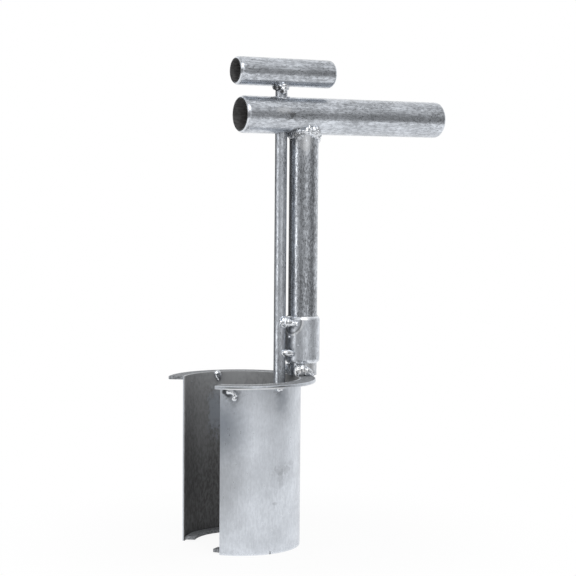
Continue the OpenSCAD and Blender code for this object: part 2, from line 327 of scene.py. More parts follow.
surface = add(tree, "ShaderNodeMixShader", {0: share, 1: paint.outputs[0], 2: own_white.outputs[0]})
add(tree, "ShaderNodeOutputMaterial", {"Surface": surface.outputs[0]})
floor_mesh.materials.append(pale)
print("floor radius", FLOOR_R)

# %% [markdown]
# Three soft lamps. Each is a rectangle that also shows in the metal: a tall one at the left, which draws a
# pale band down each tube and lights the cut ends, one high in front, which puts the sparks on the
# lumps of the welds and is too high for the upright tubes to show, and a broad one overhead.

# %% Hang the lamps
LAMPS_AIM = Vector((stem_x / 2, 0, 0.22))


def lamp(name, side, distance, height, width, tall, level):
    """A rectangular lamp at an angle to the right of the camera, aimed at the middle of the object."""
    data = bpy.data.lights.new(name, "AREA")
    data.shape = "RECTANGLE"
    data.size, data.size_y = width, tall
    data.energy = level * math.pi * width * tall
    made = bpy.data.objects.new(name, data)
    bpy.context.scene.collection.objects.link(made)
    angle = math.radians(CAMERA_SIDE + side)
    made.location = LAMPS_AIM + Vector((math.cos(angle) * distance, math.sin(angle) * distance, height))
    made.rotation_euler = (LAMPS_AIM - made.location).to_track_quat("-Z", "Y").to_euler()


lamp("lamp_left", side=-58, distance=1.3, height=0.12, width=0.3, tall=0.9, level=1.1)
lamp("lamp_front", side=8, distance=1.1, height=1.1, width=0.9, tall=0.7, level=2.6)
lamp("lamp_over", side=60, distance=0.5, height=1.3, width=1.2, tall=1.2, level=0.25)

# %% [markdown]
# Zinc. The whole tool is galvanised steel, so one family of finishes serves it all. What makes zinc look
# like zinc is uneven: cloudy patches, a fine grain, small dark pits, streaks along the way a tube was
# drawn, edges rubbed brighter, and duller, darker metal round each weld. Each of these effects could be
# drawn anew in every material. Each is a node group with its own inputs instead, built once, so that a
# material only places it with its own values. Clouds and streaks are both noise. Streaks are noise on a
# vector that is squeezed along the tube, which draws the noise out that way.

# %% Build the clouds and the streaks


def new_group(name, outputs, **inputs):
    """A shader group with named inputs, of which a tuple makes a vector, and mask outputs."""
    group = bpy.data.node_groups.new(name, "ShaderNodeTree")
    for label, value in {"Vector": (0, 0, 0), **inputs}.items():
        kind = "NodeSocketVector" if isinstance(value, tuple) else "NodeSocketFloat"
        group.interface.new_socket(name=label, in_out="INPUT", socket_type=kind).default_value = value
    for label in outputs:
        group.interface.new_socket(name=label, in_out="OUTPUT", socket_type="NodeSocketFloat")
    return group, group.nodes.new("NodeGroupInput").outputs, group.nodes.new("NodeGroupOutput").inputs


def noise(tree, vector, seed, scale, detail, roughness=0.5):
    """Noise that lies elsewhere for each seed, because the seed is its fourth coordinate."""
    inputs = {"Vector": vector, "W": seed, "Scale": scale, "Detail": detail, "Roughness": roughness}
    return add(tree, "ShaderNodeTexNoise", inputs, noise_dimensions="4D").outputs[0]


clouds, given, result = new_group("zinc_clouds", ["Patches"], Scale=60.0, Contrast=0.2, Seed=0.0)
patches = noise(clouds, given["Vector"], given["Seed"], given["Scale"], detail=6.0, roughness=0.6)
low = maths(clouds, "SUBTRACT", 0.5, given["Contrast"])
high = maths(clouds, "ADD", 0.5, given["Contrast"])
feed(clouds, result["Patches"], remap(clouds, patches, low, high))

STREAK_EDGES = (0.32, 0.68)
streaks, given, result = new_group("drawn_streaks", ["Streaks"], Along=(1, 1, 0.08), Scale=900.0, Seed=0.0)
drawn = vector_maths(streaks, "MULTIPLY", given["Vector"], given["Along"])
lines = noise(streaks, drawn, given["Seed"], given["Scale"], detail=3.0, roughness=0.65)
feed(streaks, result["Streaks"], remap(streaks, lines, *STREAK_EDGES))
print("effects:", clouds.name, streaks.name)

# %% [markdown]
# Edge wear. Hands and soil rub an edge bright, further in at some places than at others. The mask is 1
# at the edge and fades over a reach that noise makes uneven. The distance to the edge is an input,
# because each material knows where its own edges are.

# %% Build the edge wear
# Noise seldom leaves this range
NOISE_EDGES = (0.3, 0.7)
# The least and the most that an edge is worn in, as shares of the reach
WORN_SHARES = (0.35, 1.3)

wear, given, result = new_group("edge_wear", ["Wear"], Distance=0.0, Reach=2 * MM, Seed=0.0)
uneven = noise(wear, given["Vector"], given["Seed"], scale=700.0, detail=4.0)
uneven = times(wear, given["Reach"], remap(wear, uneven, *NOISE_EDGES, *WORN_SHARES))
feed(wear, result["Wear"], remap(wear, given["Distance"], uneven, 0.0))
print("effect:", wear.name)

# %% [markdown]
# Spots and halos. A weld burns the zinc beside it, and a knock or a drop of soot leaves a patch. Spots
# also paint shade, dark reflections and highlights. A spot is a soft ball with a ragged edge, which can be
# stretched, and it marks the surface where it meets it. A halo is the thin ring at the same radius, such as
# the line where burnt zinc meets sound zinc.

# %% Build the spots and halos
HALO_WIDTH = 0.12

spot, given, result = new_group(
    "dark_spot", ["Spot", "Halo"], Centre=(0, 0, 0), Stretch=(1, 1, 1), Radius=10 * MM, Ragged=0.25, Seed=0.0
)
far = vector_maths(spot, "SUBTRACT", given["Vector"], given["Centre"])
far = vector_maths(spot, "LENGTH", vector_maths(spot, "MULTIPLY", far, given["Stretch"]))
far = maths(spot, "DIVIDE", far, given["Radius"])
waver = noise(spot, given["Vector"], given["Seed"], scale=260.0, detail=4.0)
waver = times(spot, given["Ragged"], remap(spot, waver, *NOISE_EDGES, -1.0, 1.0))
ragged = maths(spot, "ADD", far, waver)
feed(spot, result["Spot"], remap(spot, ragged, 1.0, given["Ragged"]))
away = maths(spot, "ABSOLUTE", maths(spot, "SUBTRACT", far, 1.0))
feed(spot, result["Halo"], remap(spot, away, HALO_WIDTH, 0.0))
print("effect:", spot.name)

# %% [markdown]
# Pits are the peaks of a fine noise. A second, broad noise moves the level that counts as a peak, so that
# they come in crowds. The last effect tells the inside of a tube from its outside: whatever lies within
# a radius of the tube's axis is inside.

# %% Build the pits and the inside
PIT_LEVEL, PIT_FADE = 0.78, 0.07
CROWD_EDGES, CROWD_SHARES = (0.35, 0.65), (0.22, 0.4)

pits, given, result = new_group("zinc_pits", ["Pits"], Scale=900.0, Amount=0.4, Seed=0.0)
fine = noise(pits, given["Vector"], given["Seed"], given["Scale"], detail=2.0, roughness=0.7)
crowd = noise(pits, given["Vector"], given["Seed"], scale=45.0, detail=2.0)
crowd = remap(pits, crowd, *CROWD_EDGES, *CROWD_SHARES)
peak = maths(pits, "SUBTRACT", PIT_LEVEL, times(pits, given["Amount"], crowd))
feed(pits, result["Pits"], remap(pits, fine, peak, maths(pits, "ADD", peak, PIT_FADE)))

inside, given, result = new_group("inside", ["Inside"], Centre=(0, 0, 0), Across=(1, 1, 0), Radius=50 * MM)
across = vector_maths(inside, "SUBTRACT", given["Vector"], given["Centre"])
across = vector_maths(inside, "LENGTH", vector_maths(inside, "MULTIPLY", across, given["Across"]))
feed(inside, result["Inside"], maths(inside, "LESS_THAN", across, given["Radius"]))
print("effects:", [group.name for group in bpy.data.node_groups])

# %% [markdown]
# A finish takes its places and tones as plain values. A mark is one spot or halo of another tone. The
# default tone serves both burnt zinc and painted shade, soot is where a weld spat, and bright serves painted
# highlights, a rub and the pale ring round a weld. A hollow says where the inside of a tube is. It is
# duller and rougher, and it is painted nearly black as the shade inside the tube.

# %% Describe marks and hollows
# The first tone is burnt zinc and painted shade, and bright is painted highlights, a rub and a pale weld ring
BURN_AND_SHADE, SOOT, BRIGHT = grey(0.14, 0.05), grey(0.05), grey(0.97, 0.05)
ZINC_BLUE = 0.13
# Grain that runs up, grain that runs along the handles, and grain that runs no way
UPRIGHT, LYING, NO_WAY = Vector((1, 1, 0.06)), Vector((0.06, 1, 1)), Vector((1, 1, 1))
# What measures the distance from an upright axis and from one that lies along X
ROUND_Z, ROUND_X = Vector((1, 1, 0)), Vector((0, 1, 1))


def zinc_greys(*levels):
    """The dark, middle and pale greys of a finish."""
    return [grey(level, ZINC_BLUE) for level in levels]


def mark(centre, radius, strength, tone=BURN_AND_SHADE, stretch=(1, 1, 1), ragged=0.25, kind="Spot"):
    """One spot or halo of another tone. The radius is in millimetres, and a stretch over 1 is narrower."""
    shape = {"centre": centre, "radius": radius * MM, "stretch": stretch, "ragged": ragged}
    return kind, strength, tone, shape


# By default a hollow's greys are the painted shade inside a tube.
def hollow(centre, across, radius, tones=(grey(0.10), grey(0.16)), heights=None):
    """The inside of a piece, with its dark and pale greys, and the heights between which it turns pale."""
    return {"centre": centre, "across": across, "radius": radius}, tones, heights


def near(x, z, right, back, up):
    """A point that lies some millimetres from a height on an upright axis."""
    return (x + right * MM, back * MM, z + up * MM)


def round_axis(x, radius, angle, z):
    """A point at a distance from an upright axis, at an angle in degrees from +X towards +Y."""
    turned = math.radians(angle)
    return (x + radius * math.cos(turned), radius * math.sin(turned), z)


print("burnt", BURN_AND_SHADE[0], "soot", SOOT[0], "bright", BRIGHT[0])

# %% [markdown]
# One function mixes the effects into a finish. It lays three zinc greys over each other by the clouds, and
# darkens them with the mottle, the streaks and the pits. Rubbed edges, the inside and the marks follow.
# The numbers below say how far each effect goes, and they are the same for every finish.

# %% Helpers that lay effects on a finish
MOTTLE_SCALE, MOTTLE_CONTRAST, MOTTLE_SEED, STREAK_SCALE = 600.0, 0.09, 3, 700.0
MOTTLE_DARKENS, STREAKS_DARKEN, PITS_DARKEN, PIT_TONE = 0.85, 0.7, 0.6, grey(0.12, 0.1)
MOTTLE_ROUGHENS, STREAKS_ROUGHEN = 0.1, 0.08
MOTTLE_LIFTS, STREAKS_LIFT, RELIEF = 0.6, 0.4, 0.15 * MM
WEAR_PALES, WEAR_SMOOTHS, WORN_TONE = 0.8, 0.18, grey(0.86, 0.1)
# How much rougher and less metallic a hollow is, and how much mottle its painted shade keeps
INSIDE_ROUGHENS, INSIDE_DULLS, INSIDE_SHADE_MOTTLE = 0.3, 0.8, 0.4
# How much of the mottle is drawn out along the grain, and how much of the grain a calm side keeps
DRAWN_OUT, CALM_GRAIN = 0.65, 0.75


def use(tree, group, output, **inputs):
    """Places a shared effect in a material and gives one of its outputs."""
    made = add(tree, "ShaderNodeGroup", node_tree=group)
    for name, term in inputs.items():
        feed(tree, made.inputs[name.title()], term)
    return made.outputs[output]


def edge_distance(tree, place, axis, ends):
    """How far a point is from the nearer of two ends along an axis."""
    value = add(tree, "ShaderNodeSeparateXYZ", {0: place}).outputs[axis]
    first = maths(tree, "SUBTRACT", value, ends[0])
    return maths(tree, "MINIMUM", first, maths(tree, "SUBTRACT", ends[1], value))


def swing(tree, base, mask, reach):
    """A number that swings round a base as a mask goes from 0 to 1."""
    return maths(tree, "ADD", base, times(tree, maths(tree, "SUBTRACT", mask, 0.5), reach))


print("pit tone", PIT_TONE[0], "worn tone", WORN_TONE[0])

# %% [markdown]
# The finish maker itself. The noise reads Object coordinates, which are the part's own metres, so the
# grain has one scale on every piece and stays on it when the piece moves. A calm side has less grain,
# as the undersides of the handles do, and there the bands of the room show more cleanly.

# %% Make a zinc finish


def zinc(name, tones, along, rough, seed, patch=45.0, contrast=0.16, grain=0.65, calm=None, metal=0.9,
         ends=None, worn_reach=2.2 * MM, bore=None, marks=(), bump=0.15):
    """A zinc finish. tones are the dark, middle and pale greys; along squeezes the streaks' axis."""
    material = bpy.data.materials.new(name)
    material.use_nodes = True
    tree = material.node_tree
    tree.nodes.clear()
    place = add(tree, "ShaderNodeTexCoord").outputs["Object"]
    drawn_out = vector_maths(tree, "MULTIPLY", place, [1 - DRAWN_OUT + DRAWN_OUT * x for x in along])
    if calm:
        grain = times(tree, grain, remap(tree, upwards(tree, place), *calm, CALM_GRAIN, 1.0))
    fine = {"scale": MOTTLE_SCALE, "contrast": MOTTLE_CONTRAST, "seed": seed + MOTTLE_SEED}
    cloudy = use(tree, clouds, "Patches", vector=place, scale=patch, contrast=contrast, seed=seed)
    mottle = use(tree, clouds, "Patches", vector=drawn_out, **fine)
    streaky = use(tree, streaks, "Streaks", vector=place, along=along, scale=STREAK_SCALE, seed=seed)
    pitted = use(tree, pits, "Pits", vector=drawn_out, amount=grain, seed=seed)
    colour = blend(tree, cloudy, tones[1], tones[2])
    colour = blend(tree, times(tree, mottle, times(tree, grain, MOTTLE_DARKENS)), colour, tones[0])
    colour = blend(tree, times(tree, streaky, times(tree, grain, STREAKS_DARKEN)), colour, tones[0])
    colour = blend(tree, times(tree, pitted, PITS_DARKEN), colour, PIT_TONE)
    roughness = swing(tree, rough, mottle, MOTTLE_ROUGHENS)
    roughness = swing(tree, roughness, streaky, STREAKS_ROUGHEN)
    if ends:
        distance = edge_distance(tree, place, *ends)
        worn = use(tree, wear, "Wear", vector=place, distance=distance, reach=worn_reach, seed=seed)
        colour = blend(tree, times(tree, worn, WEAR_PALES), colour, WORN_TONE)
        roughness = maths(tree, "SUBTRACT", roughness, times(tree, worn, WEAR_SMOOTHS))
    # A bore paints the inside of a tube or the barrel dark as shade, and darkens the flange's flat faces; all
    # turn rougher and less metallic.
    if bore:
        shape, (dark, pale), heights = bore
        hidden = use(tree, inside, "Inside", vector=place, **shape)
        share = mottle
        if heights:
            rise = remap(tree, upwards(tree, place), *heights)
            share = maths(tree, "ADD", rise, times(tree, mottle, INSIDE_SHADE_MOTTLE))
        colour = blend(tree, hidden, colour, blend(tree, share, dark, pale))
        roughness = maths(tree, "ADD", roughness, times(tree, hidden, INSIDE_ROUGHENS))
        metal = times(tree, maths(tree, "SUBTRACT", 1.0, times(tree, hidden, INSIDE_DULLS)), metal)
    for kind, strength, tone, shape in marks:
        share = times(tree, use(tree, spot, kind, vector=place, seed=seed, **shape), strength)
        colour = blend(tree, share, colour, tone)
    height = maths(tree, "ADD", times(tree, mottle, MOTTLE_LIFTS), times(tree, streaky, STREAKS_LIFT))
    relief = add(tree, "ShaderNodeBump", {"Strength": bump, "Distance": RELIEF, "Height": height})
    looks = {"Base Color": colour, "Roughness": roughness, "Metallic": metal, "Normal": relief.outputs[0]}
    shader = add(tree, "ShaderNodeBsdfPrincipled", looks)
    add(tree, "ShaderNodeOutputMaterial", {"Surface": shader.outputs[0]})
    return material


def finish_node(material, *nodes):
    """Gives CAD nodes a finish."""
    for name in nodes:
        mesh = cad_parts[name].data
        mesh.materials.clear()
        mesh.materials.append(material)
    print(material.name, "on", *nodes)


print("finish maker ready")

# %% [markdown]
# The barrel is rolled sheet, brighter and more satin than the tubes, so its grain is faint. Its inside is
# never rubbed, and it is painted dark as the shade in the barrel, darkest near the mouth. Its marks need
# care in two ways. A mark is a ball in space, so one near the thin wall would show on both of its sides:
# the inner patch, a painted reflection, has a stretch of 14 along Y, so that it doesn't reach through the
# sheet. And a mark needs its own place, tone and edge to look like what it is, so burns, painted dark
# reflections and scuffs are listed apart.

# %% Finish the barrel


def on_barrel(angle, z):
    """A point on the barrel's outside."""
    return round_axis(0, barrel_r, angle, z)


def in_barrel(x, z):
    """A point on the inner face of the barrel's far wall."""
    return (x, barrel_r - barrel_wall, z)


# The grey of the painted dark reflections on the sheet
dark_reflection_grey = grey(0.19, 0.4)
tack_burns = [
    mark(on_barrel(231, flange_low - 4 * MM), 7, 0.7),
    mark(on_barrel(227.6, flange_low - 3.2 * MM), 4.2, 0.95, SOOT),
    mark(on_barrel(230.4, flange_low - 7 * MM), 3, 0.9, SOOT),
    mark(on_barrel(236, flange_low - 8 * MM), 9, 0.6),
    mark(on_barrel(281, flange_low - 3 * MM), 7, 0.35),
]
# Broad painted dark reflections of the room on the sheet
painted_dark_reflections = [
    mark(on_barrel(222, 114 * MM), 37, 0.74, dark_reflection_grey, stretch=(1, 1, 0.8), ragged=0.04),
    mark(on_barrel(218, 66 * MM), 44, 0.4, stretch=(1, 1, 0.5), ragged=0.04),
    mark(on_barrel(285, 137 * MM), 15, 0.4, dark_reflection_grey, stretch=(1.3, 1.3, 0.8), ragged=0.12),
]
scuffs = [
    mark(on_barrel(286, 74 * MM), 13, 0.17, stretch=(0.9, 1, 2.6), ragged=0.5),
    mark(on_barrel(297, 79 * MM), 8, 0.13, stretch=(0.9, 1, 2.6), ragged=0.5),
    mark(on_barrel(284, 67 * MM), 8, 0.15, stretch=(2, 2, 0.9), ragged=0.5),
    mark(on_barrel(277, 45 * MM), 4, 0.25, stretch=(1, 1, 2.5)),
    mark(on_barrel(272, 1 * MM), 2.4, 0.9, stretch=(2.5, 1, 0.9)),
]
inner_marks = [
    mark(in_barrel(2 * MM, barrel_top - 5 * MM), 10, 0.6),
    # A painted reflection: the pale patch on the far inner wall
    mark(in_barrel(0, 116 * MM), 20, 0.75, grey(0.3, 0.25), stretch=(1.3, 14, 0.7), ragged=0.3),
]
back_marks = [
    mark(on_barrel(78, 150 * MM), 46, 0.5, grey(0.4, 0.05), stretch=(1, 1, 2), ragged=0.2),
    mark(on_barrel(108, 110 * MM), 30, 0.3, grey(0.3, 0.05), stretch=(2.2, 2.2, 0.4), ragged=0.1),
]
# Painted shade inside the barrel, darker towards the mouth
barrel_inside_shade = (grey(0.09), grey(0.26, 0.04))
barrel_zinc = zinc(
    "barrel_zinc",
    zinc_greys(0.42, 0.64, 0.84),
    UPRIGHT,
    rough=0.36,
    seed=1.0,
    patch=26.0,
    contrast=0.18,
    grain=0.2,
    metal=0.7,
    ends=("Z", (0, barrel_top)),
    bore=hollow((0, 0, 0), ROUND_Z, barrel_r - barrel_wall / 2, barrel_inside_shade, heights=(40 * MM, 200 * MM)),
    marks=tack_burns + painted_dark_reflections + scuffs + inner_marks + back_marks,
    bump=0.05,
)
finish_node(barrel_zinc, "barrel")

# %% [markdown]
# The flange was cut from plate. Its flat faces are duller than its ground rim, and thin streaks run round
# the rim: bright ones are painted highlights, and dark ones are painted dark reflections. Each streak is a
# mark that is made very thin upwards. The push ring inside the barrel has the same finish.

# %% Finish the flange and the push ring
# Angle, height above the rim's lower edge, length, strength, tone and thinness of each painted streak
RIM_REFLECTIONS = [
    (241, 0.3, 24, 1.0, WHITE, 20),
    (238, 1.7, 22, 0.9, grey(0.2, 0.1), 24),
    (266, 0.7, 22, 0.8, WHITE, 26),
    (272, 1.9, 20, 1.0, BURN_AND_SHADE, 26),
]
rim_marks = [mark(near(stem_x, barrel_top, -6, -8, 0), 12, 0.6)]
for angle, rise, length, strength, tone, thin in RIM_REFLECTIONS:
    place = round_axis(0, flange_r, angle, flange_low + rise * MM)
    rim_marks.append(mark(place, length, strength, tone, stretch=(1, 1, thin), ragged=0.1))
ring_zinc = zinc(
    "ring_zinc",
    zinc_greys(0.40, 0.66, 0.82),
    NO_WAY,
    rough=0.36,
    seed=2.0,
    patch=60.0,
    grain=0.4,
    metal=0.8,
    bore=hollow((0, 0, 0), ROUND_Z, flange_r - 0.6 * MM, (grey(0.14, 0.1), grey(0.34, 0.1))),
    marks=rim_marks,
)
finish_node(ring_zinc, "flange_ring", "push_ring")

# %% [markdown]
# The stem is drawn tube and stands upright, so its grain runs up it, and it has more grain than the
# other tubes. Its marks are burnt zinc with painted shade under the saddle weld and at its foot, and
# painted highlights beside them. The rod is a drawn bar of the same kind, with no marks of its own.

# %% Finish the stem and the rod
stem_zinc = zinc(
    "stem_zinc",
    zinc_greys(0.26, 0.80, 0.96),
    UPRIGHT,
    rough=0.24,
    seed=3.0,
    grain=0.8,
    bore=hollow((stem_x, 0, 0), ROUND_Z, stem_r - 1 * MM),
    marks=[
        # These two are burnt zinc, darkened as painted shade under the handle on the rod's side
        mark(near(stem_x, main_z, -11, 0, -22), 13, 0.6),
        mark(near(stem_x, main_z, -14, -6, -19), 9, 0.6),
        # A painted highlight below the saddle weld
        mark(near(stem_x, main_z, -5, -13, -24), 11, 0.8, BRIGHT, stretch=(1.2, 1, 0.8)),
        # Burnt zinc and painted shade at the foot, on the rod's side
        mark(near(stem_x, barrel_top, -8, -10, 0), 12, 0.6),
        # A painted highlight over the foot weld
        mark((stem_x + 2 * MM, -stem_r, barrel_top + 7 * MM), 9, 0.8, BRIGHT),
    ],
)
rod_zinc = zinc("rod_zinc", zinc_greys(0.30, 0.82, 0.96), UPRIGHT, rough=0.34, seed=7.0, grain=0.7, bump=0.06)
finish_node(stem_zinc, "stem")
finish_node(rod_zinc, "push_rod")

# %% [markdown]
# The two handles lie along X, so their grain does too. Their ends are rubbed bright, and their undersides
# are calm. They differ only in their seeds, their calm sides and their marks, so one function finishes
# both. The main handle has a scuffed place on its front, with a bright rub beside it.

# %% Finish the two handles


def finish_handle(node, seed, calm, marks):
    """Finishes a handle, which is calm up to some millimetres below its middle."""
    low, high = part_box(node)
    z = middle(node).z
    material = zinc(
        node + "_zinc",
        zinc_greys(0.22, 0.66, 0.86),
        LYING,
        rough=0.24,
        seed=seed,
        ends=("X", (low.x, high.x)),
        bore=hollow((0, 0, z), ROUND_X, half_size(node).z - 2.7 * MM),
        calm=[z - down * MM for down in calm],
        marks=marks,
    )
    finish_node(material, node)


def on_main(x, up):
    """A point on the front of the main handle."""
    return (x * MM, -main_r, main_z + up * MM)


main_marks = [
    # Burnt zinc and painted shade under the handle, beside the stem
    mark(near(stem_x, main_z, -10, -8, -14), 12, 0.4),
    mark(near(0, main_z, 42, -5, -16), 11, 0.5, stretch=(0.6, 1, 1)),
    mark(on_main(41, 0), 3.4, 0.7, ragged=0.7),
    mark(on_main(37, 3), 1.8, 0.6, ragged=0.4),
    mark(on_main(44.5, -1), 1.8, 0.6, ragged=0.4),
    mark(on_main(34, 4), 9, 0.4, BRIGHT, stretch=(0.8, 1, 2)),
]
finish_handle("main_handle", seed=4.0, calm=(8, 2), marks=main_marks)
finish_handle("push_handle", seed=5.0, calm=(9, 5), marks=[mark((rod_x, 0, push_z - push_r), 9, 0.5)])

# %% [markdown]
# The guide sleeve slides on the stem. Its ends are rubbed further in than the handles' are. The weld near
# its top has a burnt ring and a bright ring round it, which are halos. The sleeve's middle is darker, as
# painted shade on the side toward the rod and as burnt zinc where the two welds cooked it, and its top
# edge has a painted highlight.

# %% Finish the guide sleeve
sleeve_middle = (sleeve_low + sleeve_high) / 2
sleeve_weld = near(stem_x, sleeve_high, -17, -6, -4.5)
sleeve_zinc = zinc(
    "sleeve_zinc",
    zinc_greys(0.30, 0.83, 0.94),
    UPRIGHT,
    rough=0.33,
    seed=6.0,
    grain=0.5,
    metal=0.8,
    ends=("Z", (sleeve_low, sleeve_high)),
    worn_reach=3.6 * MM,
    bore=hollow((stem_x, 0, 0), ROUND_Z, sleeve_r - 1.9 * MM),
    marks=[
        # Painted shade on the side toward the rod
        mark((stem_x - sleeve_r, 0, sleeve_middle), 12, 0.5, stretch=(1, 1, 0.45), ragged=0.1),
        mark(sleeve_weld, 10, 0.5),
        mark(sleeve_weld, 11, 0.7, kind="Halo"),
        mark(sleeve_weld, 12.6, 0.9, BRIGHT, kind="Halo"),
        mark(near(stem_x, sleeve_middle, -14, -9, 0), 10, 0.25, stretch=(1, 1, 0.5), ragged=0.2),
        mark(near(stem_x, sleeve_high, -17, -6, -32.5), 6, 0.5),
        # A painted highlight on the top edge
        mark((stem_x - 6 * MM, -sleeve_r, sleeve_high - 1.5 * MM), 6, 1.0, WHITE, stretch=(1, 1, 2.5)),
    ],
)
finish_node(sleeve_zinc, "guide_sleeve")

# %% [markdown]
# Weld metal. A hand-laid bead is a row of drops that ran into each other, and it is bright where it
# catches a lamp. It has much the same zinc greys, with a sharper gloss. There are two kinds: the rough
# one has some grain and relief, and the smooth one, on the sleeve, is nearly a mirror. Soot lies in the
# hollows between the drops. Other marks are burnt zinc, painted shade on the beads' shaded sides and
# undersides, and a painted highlight on the stem's foot weld.

# %% Make the two weld metals
push_under = push_z - push_r
WELD_FINISH = {"along": NO_WAY, "patch": 150.0, "contrast": 0.1, "metal": 1.0}
weld_metal = zinc(
    "weld_metal",
    (grey(0.30, 0.06), grey(0.80, 0.08), grey(0.95, 0.08)),
    rough=0.16,
    seed=8.0,
    grain=0.25,
    bump=0.1,
    **WELD_FINISH,
    marks=[
        # Burnt zinc and painted shade on the saddle bead's shaded left side
        mark(near(stem_x, main_z, -14, -8, -17), 11, 0.8),
        # A painted highlight on the stem's foot weld
        mark(near(0, barrel_top, 55, -12, 4.6), 8, 0.95, WHITE),
        # Painted shade on the foot weld's shaded left side
        mark(near(0, barrel_top, 50, -13, -0.5), 4, 0.7),
        mark(near(rod_x, push_under, -8.5, -2, -2), 6, 0.95, SOOT),
        mark(near(rod_x, push_under, -5.5, -6, -1.5), 2.6, 0.95, SOOT),
        mark(near(rod_x, push_under, -3.4, -8, -5), 2.4, 0.95, SOOT),
        mark(near(rod_x, push_under, 0, -8, -8), 2.6, 0.95, SOOT),
        mark(on_barrel(235.2, flange_low - 7.4 * MM), 2.6, 0.95, SOOT),
        mark(on_barrel(238, flange_low - 10 * MM), 3, 0.75),
    ],
)
smooth_metal = zinc(
    "smooth_weld_metal",
    (grey(0.34, 0.08), grey(0.84, 0.08), grey(0.95, 0.08)),
    rough=0.12,
    seed=9.0,
    grain=0.12,
    bump=0.02,
    **WELD_FINISH,
    marks=[
        # Painted shade under the two sleeve beads
        mark(near(0, sleeve_high, 43, -9, -10.5), 5, 0.8),
        mark(near(0, sleeve_low, 43.5, -9, 4.5), 4.5, 0.8),
    ],
)
print("weld metals:", weld_metal.name, smooth_metal.name)

# %% [markdown]
# A bead could be sculpted, or be a bent tube with noise on it. A real one is a row of drops, and that is
# a task for Geometry Nodes, because it repeats one thing along a path. Two helpers give each point of
# the path its own random size and shift. A Random Value node, too, has sockets for each kind of data.

# %% Helpers for the bead tree


def random_number(tree, low, high, seed):
    """A random number for each point."""
    made = add(tree, "FunctionNodeRandomValue", data_type="FLOAT")
    for index, term in ((2, low), (3, high), (8, seed)):
        feed(tree, made.inputs[index], term)
    return made.outputs[1]


def random_shift(tree, reach, seed):
    """A random shift for each point, up to reach each way."""
    made = add(tree, "FunctionNodeRandomValue", data_type="FLOAT_VECTOR")
    for index, term in ((0, times(tree, reach, -1.0)), (1, reach), (8, seed)):
        feed(tree, made.inputs[index], term)
    return made.outputs[0]


def scaled(tree, vector, by):
    """A vector times a number."""
    return add(tree, "ShaderNodeVectorMath", {0: vector, "Scale": by}, operation="SCALE").outputs[0]


def step(kind, inputs=None, **settings):
    """One step of the bead tree: a geometry node, of which the first output goes on."""
    return add(bead, "GeometryNode" + kind, inputs, **settings).outputs[0]


print("bead helpers ready")

# %% [markdown]
# The first half of the tree spaces points along the path, and puts a drop on each with its own size and
# a small shift. An attribute named fat, stored on the path's points, makes the drops larger where a
# welder lingers. The tree's inputs have names, because each bead sets its own sizes and seed.

# %% Start the bead tree with a row of drops
BEAD_INPUTS = {
    "Spacing": ("Float", 2 * MM),
    "Drop": ("Vector", (2 * MM, 2 * MM, 3 * MM)),
    "Spread": ("Float", 0.2),
    "Shift": ("Float", 0.4 * MM),
    "Voxel": ("Float", 0.3 * MM),
    "Lumps": ("Float", 0.5 * MM),
    "Smooth": ("Int", 4),
    "Seed": ("Int", 1),
}
bead = bpy.data.node_groups.new("weld_bead", "GeometryNodeTree")
bead.interface.new_socket(name="Geometry", in_out="INPUT", socket_type="NodeSocketGeometry")
for label, (kind, value) in BEAD_INPUTS.items():
    socket = bead.interface.new_socket(name=label, in_out="INPUT", socket_type="NodeSocket" + kind)
    socket.default_value = value
bead.interface.new_socket(name="Material", in_out="INPUT", socket_type="NodeSocketMaterial")
bead.interface.new_socket(name="Geometry", in_out="OUTPUT", socket_type="NodeSocketGeometry")
given = bead.nodes.new("NodeGroupInput").outputs

points = step("MeshToCurve", {0: given["Geometry"]})
points = step("ResampleCurve", {"Curve": points, "Length": given["Spacing"]}, mode="LENGTH")
points = step("CurveToPoints", {"Curve": points}, mode="EVALUATED")
shift = random_shift(bead, given["Shift"], given["Seed"])
points = step("SetPosition", {"Geometry": points, "Offset": shift})
least = maths(bead, "SUBTRACT", 1.0, given["Spread"])
most = maths(bead, "ADD", 1.0, given["Spread"])
fat = step("InputNamedAttribute", {"Name": "fat"}, data_type="FLOAT")
size = times(bead, random_number(bead, least, most, given["Seed"]), fat)
size = scaled(bead, given["Drop"], size)
drop = step("MeshIcoSphere", {"Radius": 1.0, "Subdivisions": 4})
drops = step("InstanceOnPoints", {"Points": points, "Instance": drop, "Scale": size})
drops = step("RealizeInstances", {"Geometry": drops})
print("bead inputs:", list(BEAD_INPUTS))

# %% [markdown]
# The second half melts the drops into one skin, by way of a volume. Smooth says how often the skin's
# places are averaged with their neighbours', from a few times for a lumpy bead to many for a slick one.
# Noise then lifts the skin into small lumps. The tree ends in Realize Instances and Set Material, so
# that what comes out is one plain mesh with its finish.

# %% Finish the bead tree with a melted skin
SKIN_LEVEL, LUMP_SCALE, LUMP_DETAIL, LUMP_RISE, SEED_STEP = 0.1, 330.0, 1.5, 3.0, 0.37

